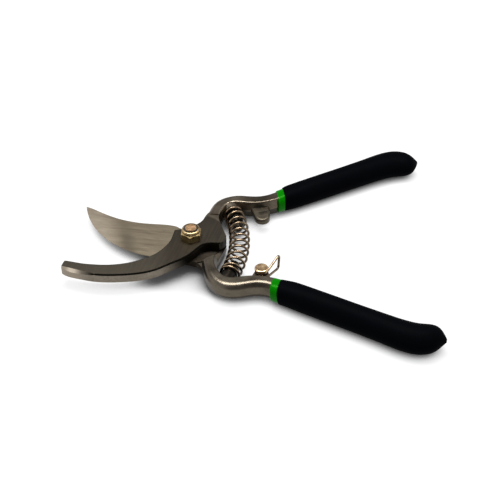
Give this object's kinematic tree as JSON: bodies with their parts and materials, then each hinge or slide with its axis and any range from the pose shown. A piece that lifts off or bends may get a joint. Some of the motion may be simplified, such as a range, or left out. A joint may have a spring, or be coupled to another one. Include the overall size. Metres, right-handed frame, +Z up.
{
  "type": "bypass pruning shears",
  "caption": "Forged bypass pruning shears: curved cutting blade and hook on a bolted pivot, bowed coil return spring, swinging wire catch, dipped vinyl grips with a green band.",
  "frame": {"origin": "where the pivot axis meets the plane the open tool lies on, at the middle of the pivot bolt head's underside", "axes": "+X along the tool from the pivot towards the grips, +Y towards the handle of the hook arm, +Z up along the pivot axis towards the nut"},
  "size_m": [0.1918, 0.1606, 0.018],
  "materials": {
    "forged_steel": "dark polished forging with fine grind lines",
    "blade_steel": "satin ground steel",
    "yellow_zinc": "yellow zinc plating",
    "nylon_black": "matte",
    "plated_wire": "bright bronze-nickel plating",
    "vinyl_green": "satin dipped vinyl",
    "vinyl_black": "finely textured matte dipped vinyl"
  },
  "bodies": {
    "hook_side": {"hook_arm": "forged_steel", "pivot_bolt": "yellow_zinc", "lock_nut": "yellow_zinc", "nut_insert": "nylon_black", "far_under_sleeve": "vinyl_green", "far_grip": "vinyl_black"},
    "blade_side": {"blade_arm": "blade_steel", "catch_rivet": "plated_wire", "return_spring": "plated_wire", "near_under_sleeve": "vinyl_green", "near_grip": "vinyl_black"},
    "catch": {"catch_loop": "plated_wire"}
  },
  "joints": [
    {"name": "handle_close", "type": "hinge", "parent": "hook_side", "child": "blade_side", "pos_m": [0, 0, 0.006], "axis": [0, 0, 1], "range_deg": [0, 49], "stiffness_Nm_per_rad": 1.9, "deforming": ["return_spring"]},
    {"name": "catch_swing", "type": "hinge", "parent": "blade_side", "child": "catch", "pos_m": [0.0371, -0.0246, 0.007], "axis": [0, 0, 1], "range_deg": [-55, 20]}
  ]
}
